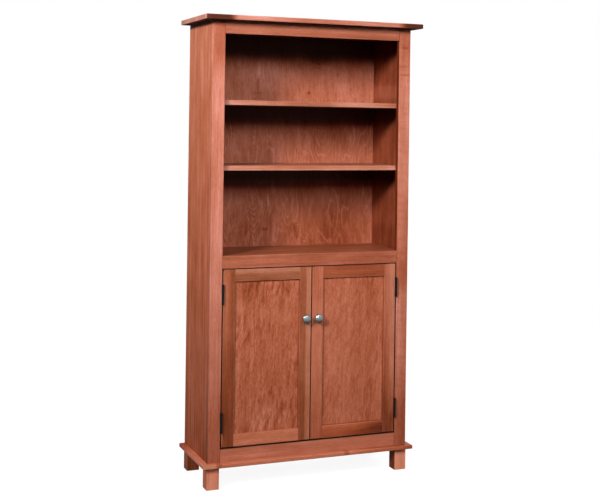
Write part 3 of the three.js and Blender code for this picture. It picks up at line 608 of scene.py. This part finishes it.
# The grain's axis and the look of each board
# Painted shade on the shelves' tops, behind their front edges
SHELF_TOP_SHADE = along("Y", (0, 0), (0.06, 0), (0.07, -0.3), (1, -0.4))
BOARDS = {
    "top_board": ("X", looks(
        tint=(1, 1.1, 1.3), tone=0.64, gloss=0.12, under=0.9, ends=0, front_only=0.012,
        marks=((0, 1.82, 0.14, 0.1, -0.1),),
        # Near the front, the left end is painted lighter where it catches the light, and the front edge
        # darker towards both ends, painted shade beside its lit middle; the smudges add to that shade
        bands=(
            along("X", (0, 0.4), (0.0026, 0.4), (0.0032, -0.5), (0.11, -0.4), (0.14, 0.1), (0.19, 0.14),
                  (0.42, 0.02), (0.6, 0.02), (0.75, 0.12), (0.88, 0.1), (0.92, -0.5), (1, -0.5)),
            along("X", (0, 0), (0.0026, 0), (0.0032, -0.35), (0.10, -0.25), (0.13, 0), (0.905, 0),
                  (1, -0.2))),
        smudges=((-0.405, 1.82, 0.07, 0.1, 0.45), (0.43, 1.82, 0.07, 0.1, 0.38)))),
    "left_side_panel": ("Z", looks(
        tint=(1, 0.93, 0.84), tone=0.66, wide=0.7, blotch=0.6, gloss=0.003,
        bands=(along("Z", (0, -0.16), (0.15, -0.06), (0.5, -0.02), (1, 0.12)),))),
    "right_side_panel": ("Z", looks(
        tint=(1, 1.12, 1.4), tone=0.2, wide=0.3, shade=0.7, gloss=0.02,
        marks=((0.41, 1.555, 0.1, 0.04, 0.12), (0.41, 0.93, 0.1, 0.08, -0.1)))),
    "back_panel": ("Z", looks(
        tint=(1, 1.15, 1.35), tone=0.45, wide=0.12, fine=0.28, blotch=0.5, hair=0.2, drift=0.05,
        figure=0.21, rings=20, ripple=0.4, slant=5, speck=0.36, shade=0.88, gloss=0.06,
        arcs=((-0.140, 3.2, 0.022, 0.05, 0.09), (0.137, 1.0, 0.012, 0.12, 0.09)),
        # The first mark is painted shade close under the top
        marks=((0.15, 1.70, 0.09, 0.045, -0.22),
               (-0.126, 1.645, 0.010, 0.050, 0.22), (-0.129, 1.577, 0.009, 0.040, -0.22),
               (-0.128, 1.541, 0.030, 0.007, -0.16), (0.102, 1.546, 0.008, 0.010, -0.3),
               (0.236, 1.625, 0.008, 0.010, -0.25), (-0.090, 0.970, 0.018, 0.010, -0.22),
               (-0.077, 1.092, 0.007, 0.040, 0.2), (0.22, 0.96, 0.24, 0.14, -0.16),
               (-0.06, 1.61, 0.16, 0.09, 0.12)),
        # Bands: the left part is painted lighter against the side lamp's shadow there, and the top painted
        # darker as shade close under the top board
        bands=(
            along("X", (0, 0.07), (0.42, 0.09), (0.62, 0), (0.93, 0.02), (0.96, 0.06), (1, 0.06)),
            along("Z", (0, -0.08), (0.5, -0.04), (0.58, 0.02), (0.8, 0.06), (0.9, 0.08), (0.935, -0.08),
                  (1, -0.3))))),
    "fixed_deck": ("X", looks(tint=(1, 1.12, 1.1), tone=0.29, gloss=0.4, under=0.9)),
    "cabinet_bottom": ("X", looks(tone=0.5)),
    "left_frame_stile": ("Z", looks(
        rounding=FRAME_ROUNDING, tint=(1, 1.05, 1.2), tone=0.70, gloss=0.02, gap=OPENING_SIDES, wear=0.05,
        # The first mark is a painted highlight along the outer edge near the top
        marks=((-0.4245, 1.715, 0.0035, 0.12, 0.42), (-0.425, 0.25, 0.003, 1.2, -0.18),
               (-0.40, 0.65, 0.05, 0.12, -0.1)),
        bands=(
            along("X", (0, -0.16), (0.008, -0.16), (0.02, 0), (1, 0)),
            along("Z", (0, -0.22), (0.1, -0.2), (0.2, 0.02), (0.3, 0.1), (0.6, 0.08), (0.87, 0.12),
                  (0.93, -0.18), (1, -0.18))))),
    "right_frame_stile": ("Z", looks(
        rounding=FRAME_ROUNDING, tint=(1, 1.04, 1.15), tone=0.63, gap=OPENING_SIDES, ripple=0.4, slant=82,
        gloss=0.05,
        marks=((0.40, 0.80, 0.05, 0.09, -0.1), (0.40, 1.731, 0.03, 0.010, -0.16),
               (0.405, 1.62, 0.04, 0.006, -0.2), (0.395, 1.655, 0.03, 0.006, -0.12)),
        bands=(
            along("Z", (0, -0.22), (0.08, -0.2), (0.2, 0.08), (0.35, 0.08), (0.43, -0.14), (0.5, -0.1),
                  (0.6, 0.08), (0.85, 0.14), (0.97, -0.04), (1, -0.04)),))),
    "top_frame_rail": ("X", looks(rounding=FRAME_ROUNDING, tint=(1, 1.12, 1.3), tone=0.46, gloss=0.16)),
    "middle_frame_rail": ("X", looks(
        rounding=FRAME_ROUNDING, tint=(1, 1.1, 1.25), tone=0.50, gap=OPENING_ENDS,
        bands=(along("X", (0, -0.04), (0.3, -0.04), (0.5, -0.08), (0.7, 0), (1, 0.02)),))),
    "bottom_frame_rail": ("X", looks(
        rounding=FRAME_ROUNDING, tone=0.60, wide=0.7, gap=OPENING_ENDS,
        bands=(along("X", (0, 0.12), (0.25, 0.04), (0.5, -0.02), (1, -0.02)),))),
    "front_base_board": ("X", looks(
        tint=(1, 0.90, 0.79), tone=0.76, wide=0.7, gloss=0.02, wear=0.7,
        # The first mark is a painted highlight near the left corner
        marks=((-0.423, 0.1, 0.045, 0.1, 0.22), (-0.384, 0.1, 0.016, 0.02, -0.26),
               (0.153, 0.095, 0.016, 0.014, -0.3)),
        bands=(along("X", (0, 0.1), (0.1, 0.06), (0.7, 0.05), (0.82, -0.32), (0.92, -0.26), (1, -0.4)),))),
    "left_base_board": ("Y", looks(
        tint=(1.13, 1.0, 0.92), tone=0.84, wide=0.7, gloss=0.01, wear=0.8,
        bands=(along("Y", (0, 0.1), (0.5, 0.04), (0.8, -0.14), (1, -0.4)),))),
    "right_base_board": ("Y", looks(tone=0.42, wide=0.7, wear=0.1)),
    "back_base_board": ("X", looks(tone=0.5)),
    "front_left_foot": ("Z", looks(
        tint=(1.22, 1.12, 1.04), tone=0.88, gloss=0.02, wear=0.8,
        # The band is painted shade on the left face
        bands=(along("X", (0, -0.28), (0.01, -0.28), (0.03, 0), (1, 0)),))),
    "front_right_foot": ("Z", looks(
        tint=(1.22, 1.15, 1.05), tone=0.94, gloss=0.02, wear=0.4,
        # Both bands are painted shade on the left face
        bands=(
            along("X", (0, -0.5), (0.01, -0.5), (0.03, 0), (1, 0)),
            along("X", (0, -0.4), (0.01, -0.4), (0.03, 0), (1, 0))))),
    "back_left_foot": ("Z", looks(tint=(1, 1.1, 1.2), tone=0.34, gloss=0.01, wear=0.1)),
    "back_right_foot": ("Z", looks(tone=0.42)),
    "upper_shelf": ("X", looks(
        tint=(1, 1.26, 1.48), tone=0.61, gloss=0.3, wide=0.7, blotch=0.9, under=0.8,
        marks=((0, 1.49, 0.14, 0.1, -0.16),), bands=(SHELF_TOP_SHADE,))),
    "lower_shelf": ("X", looks(
        tint=(1, 1.17, 1.3), tone=0.71, gloss=0.3, wide=0.7, blotch=0.7, under=0.8, bands=(SHELF_TOP_SHADE,))),
    "cabinet_shelf": ("X", looks(tone=0.5)),
    "catch_block": ("X", looks(tone=0.5)),
    "left_door_hinge_stile": ("Z", looks(
        tint=(1, 1.1, 1.1), tone=0.43, wide=0.3, gap=LEFT_DOOR,
        # The first mark is a painted highlight at the foot of the outer edge
        marks=((-0.3675, 0.19, 0.004, 0.035, 0.5), (-0.362, 0.33, 0.02, 0.22, -0.14)),
        bands=(
            along("X", (0, 0.0), (0.3, -0.02), (0.48, -0.1), (1, -0.14)),
            along("Z", (0, -0.06), (0.1, -0.1), (0.3, -0.12), (0.42, -0.1), (0.62, 0.0), (0.9, 0.06),
                  (1, 0.0))))),
    "left_door_lock_stile": ("Z", looks(
        tint=(1, 1.18, 1.25), tone=0.46, wide=0.3, gap=LEFT_DOOR,
        bands=(
            along("X", (0, -0.1), (0.5, -0.08), (0.62, 0.14), (1, 0.16)),
            along("Z", (0, -0.05), (1, 0.03))))),
    "left_door_top_rail": ("X", looks(
        tint=(1, 1.28, 1.45), tone=0.46, wide=0.3, gap=LEFT_DOOR,
        bands=(along("Z", (0, -0.1), (0.5, -0.08), (0.7, 0.14), (1, 0.18)),))),
    "left_door_bottom_rail": ("X", looks(tint=(1, 0.92, 0.8), tone=0.68, gap=LEFT_DOOR)),
    "left_door_panel": ("Z", looks(
        tone=0.51, wide=0.25, fine=0.4, blotch=0.3, ripple=1.2, slant=-12, speck=0.6, wear=0,
        marks=((-0.27, 0.78, 0.07, 0.09, -0.18), (-0.10, 0.78, 0.04, 0.07, -0.12),
               (-0.19, 0.25, 0.08, 0.07, 0.1)),
        # Bands: painted shade along the right and top edges of the recess
        bands=(
            along("X", (0, 0.1), (0.1, 0.08), (0.2, 0), (0.962, 0), (0.97, -0.4), (1, -0.4)),
            along("Z", (0, 0), (0.9, 0), (0.981, 0.05), (0.986, -0.5), (1, -0.5))))),
    "right_door_hinge_stile": ("Z", looks(
        tint=(1, 1.08, 1.15), tone=0.57, wide=0.4, gap=RIGHT_DOOR,
        # The mark is painted shade at the foot, the same dark patch as on the bottom rail
        marks=((0.36, 0.19, 0.015, 0.07, -0.22),),
        bands=(
            along("X", (0, -0.06), (0.3, -0.05), (0.6, 0.06), (1, 0.12)),
            along("Z", (0, -0.35), (0.12, -0.3), (0.35, -0.02), (1, 0.06))))),
    "right_door_lock_stile": ("Z", looks(
        tone=0.62, wide=0.4, gap=RIGHT_DOOR,
        bands=(along("Z", (0, -0.16), (0.12, -0.1), (0.3, 0.06), (0.6, 0.04), (1, 0)),))),
    "right_door_top_rail": ("X", looks(tone=0.26, gap=RIGHT_DOOR)),
    "right_door_bottom_rail": ("X", looks(
        tint=(1, 0.86, 0.72), tone=0.42, gap=RIGHT_DOOR, wear=0.8,
        # The smudge is painted shade at the right end
        smudges=((0.31, 0.165, 0.10, 0.06, 0.3),),
        bands=(
            along("X", (0, 0.06), (0.5, 0.04), (0.75, -0.04), (1, -0.14)),
            along("Z", (0, -0.22), (0.3, -0.16), (0.6, 0.04), (0.9, 0.14), (1, 0.14))))),
    "right_door_panel": ("Z", looks(
        tone=0.56, wide=0.25, fine=0.35, blotch=0.3, ripple=0.65, slant=-8, speck=0.5, wear=0,
        # Bands: painted shade along the right and top edges of the recess
        bands=(
            along("X", (0, 0.03), (0.5, 0.02), (0.8, -0.06), (0.95, 0.0), (0.962, -0.02), (0.97, -0.4),
                  (1, -0.4)),
            along("Z", (0, -0.2), (0.016, -0.2), (0.021, 0.02), (0.2, 0), (0.981, 0), (0.986, -0.5),
                  (1, -0.5))))),
}


def metal_material(name, colour, roughness, metallic, wear, gloss=0.5, lower_shade=None):
    """A metal with fine scratches and uneven gloss, and a painted dark reflection below some height, where
    one is given.
    """
    material, s, main = new_material(name)
    source = s.node("TexCoord").outputs["Object"]
    cloud = s.noise(source, *CLOUD_NOISE)[0]
    scratch = s.noise(source, *SCRATCH_NOISE)[0]
    dark = tuple(value * METAL_DARK_SHARE for value in colour)
    shown = s.mix(s.span(cloud, *METAL_CLOUD_RANGE), dark, colour)
    shown = s.mix(s.span(scratch, *SCRATCH_RANGE, 0.0, wear), shown, SCRATCH_COLOUR)
    if lower_shade:
        # The part below the given heights is darkened: a painted dark reflection
        height = s.split(source)[2]
        shown = s.mix(1.0, shown, s.span(height, *lower_shade, LOWER_SHADE_SHARE, 1.0, smooth=True), "MULTIPLY")
    s.put(shown, main.inputs["Base Color"])
    least, most = [roughness * share for share in METAL_ROUGHNESS_SHARES]
    s.put(s.span(cloud, *METAL_CLOUD_RANGE, least, most), main.inputs["Roughness"])
    s.put(s.bump(scratch, *SCRATCH_RELIEF), main.inputs["Normal"])
    main.inputs["Metallic"].default_value = metallic
    main.inputs["Specular IOR Level"].default_value = gloss
    return material


def floor_material():
    """White to the camera and a little greyer near the case, but a dull grey to the lamps."""
    material, s, main = new_material("pale_floor")
    main.inputs["Base Color"].default_value = FLOOR_GREY
    main.inputs["Roughness"].default_value = FLOOR_ROUGHNESS
    main.inputs["Specular IOR Level"].default_value = 0
    main.inputs["Emission Color"].default_value = WHITE
    away = s.vector("LENGTH", s.node("TexCoord").outputs["Object"])
    white = s.span(away, *FLOOR_WHITE_RANGE, smooth=True)
    s.put(s.math("MULTIPLY", s.seen_share(), white), main.inputs["Emission Strength"])
    return material


def add_floor():
    """A wide pale floor that keeps the shadow."""
    mesh = bpy.data.meshes.new("floor")
    shape = bmesh.new()
    bmesh.ops.create_grid(shape, x_segments=2, y_segments=2, size=FLOOR_HALF_SIZE)
    shape.to_mesh(mesh)
    shape.free()
    floor = bpy.data.objects.new("floor", mesh)
    bpy.context.scene.collection.objects.link(floor)
    mesh.materials.append(floor_material())


def set_world():
    """White to the camera and in reflections, and a low fill otherwise."""
    world = bpy.data.worlds.new("studio")
    world.use_nodes = True
    bpy.context.scene.world = world
    s = Shader(world.node_tree)
    ground = world.node_tree.nodes["Background"]
    ground.inputs["Color"].default_value = WHITE
    s.put(s.span(s.seen_share(), 0, 1, WORLD_FILL, 1.0), ground.inputs["Strength"])


def ease_edges(piece, width):
    """Small rounded edges on a piece."""
    weld = piece.modifiers.new("weld", "WELD")
    weld.merge_threshold = WELD_DISTANCE
    bevel = piece.modifiers.new("bevel", "BEVEL")
    bevel.width = width
    bevel.segments = ROUNDING_SEGMENTS
    bevel.limit_method = "ANGLE"
    bevel.angle_limit = ROUNDED_ANGLE
    bevel.use_clamp_overlap = True


def screw_head(shape, centre, facing):
    """A flat screw head with a cross recess, its rim on the plane x = centre[0]."""
    def loop(points, height):
        return [shape.verts.new(centre + Vector((facing * height, u, v))) for u, v in points]

    def wall(low, high):
        for i, vert in enumerate(low):
            after = (i + 1) % len(low)
            shape.faces.new((vert, low[after], high[after], high[i]))

    angles = [math.tau * i / SCREW_SEGMENTS for i in range(SCREW_SEGMENTS)]
    rim = [(math.cos(angle) * SCREW_RADIUS, math.sin(angle) * SCREW_RADIUS) for angle in angles]
    crown = [(u * SCREW_CROWN_SHARE, v * SCREW_CROWN_SHARE) for u, v in rim]
    arm = SCREW_RADIUS * SLOT_REACH_SHARE
    half = SLOT_WIDTH / 2
    cross = [(arm, -half), (arm, half), (half, half), (half, arm), (-half, arm), (-half, half),
             (-arm, half), (-arm, -half), (-half, -half), (-half, -arm), (half, -arm), (half, -half)]
    foot = loop(rim, 0)
    top = loop(crown, SCREW_RISE)
    mouth = loop(cross, SCREW_RISE)
    floor = loop(cross, SCREW_RISE - SLOT_DEPTH)
    wall(foot, top)
    wall(floor, mouth)
    shape.faces.new(foot)
    shape.faces.new(floor)
    edges = [shape.edges.get((ring[i], ring[(i + 1) % len(ring)])) for ring in (top, mouth)
             for i in range(len(ring))]
    bmesh.ops.triangle_fill(shape, use_beauty=True, edges=edges)


def add_leaf_screws(leaf, body, plane, facing, material):
    """Three screws in the leaf of a hinge, on the face that looks along X."""
    low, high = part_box(leaf)
    middle = (low[2] + high[2]) / 2
    shape = bmesh.new()
    for offset in SCREW_OFFSETS:
        screw_head(shape, Vector((plane, SCREW_LINE, middle + offset)), facing)
    bmesh.ops.recalc_face_normals(shape, faces=shape.faces)
    mesh = bpy.data.meshes.new(leaf + "_screws")
    shape.to_mesh(mesh)
    shape.free()
    mesh.materials.append(material)
    screws = bpy.data.objects.new(leaf + "_screws", mesh)
    bpy.context.scene.collection.objects.link(screws)
    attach(screws, body)


def finish_piece(name, material):
    """One material on all of a piece."""
    mesh = nodes[name].data
    mesh.materials.clear()
    mesh.materials.append(material)


def fitting_finishes():
    """The metals of the fittings, and the plastic of the catch."""
    return {
        "nickel": metal_material("satin_nickel", (0.29, 0.315, 0.32), roughness=0.26, metallic=1.0, wear=0.1,
                                 lower_shade=KNOB_LOWER_SHADE),
        "bronze": metal_material("dark_bronze", (0.06, 0.042, 0.030), roughness=0.45, metallic=1.0,
                                 wear=0.05),
        "black": metal_material("blackened_iron", (0.008, 0.0075, 0.0075), roughness=0.5, metallic=0.2,
                                wear=0.02, gloss=0.08),
        "zinc": metal_material("zinc", (0.62, 0.62, 0.60), roughness=0.38, metallic=1.0, wear=0.15),
        "plastic": metal_material("brown_plastic", (0.09, 0.05, 0.03), roughness=0.5, metallic=0.0, wear=0.0),
    }


def fitting_finish(name):
    """What a fitting is made of, by the first of the words that its name holds."""
    for word, finish in FITTING_WORDS:
        if word in name:
            return finish
    return "plastic"


add_camera()
for lamp in LAMPS:
    add_lamp(*lamp)
set_world()
add_floor()

for seed, (name, (grain, look)) in enumerate(BOARDS.items(), start=1):
    finish_piece(name, board_material(name, grain, seed, look))
    ease_edges(nodes[name], look["rounding"])

finishes = fitting_finishes()
for name in nodes:
    if name not in BOARDS:
        finish_piece(name, finishes[fitting_finish(name)])
for side, door in ((-1, "left_door"), (1, "right_door")):
    for level in ("lower", "upper"):
        hinge = f"{door}_{level}_hinge"
        add_leaf_screws(hinge + "_leaf", door, side * DOOR_LEAF_PLANE, side, finishes["black"])
        add_leaf_screws(hinge + "_frame_leaf", "root", side * FRAME_LEAF_PLANE, -side, finishes["black"])

bpy.context.scene.view_settings.view_transform = "Standard"
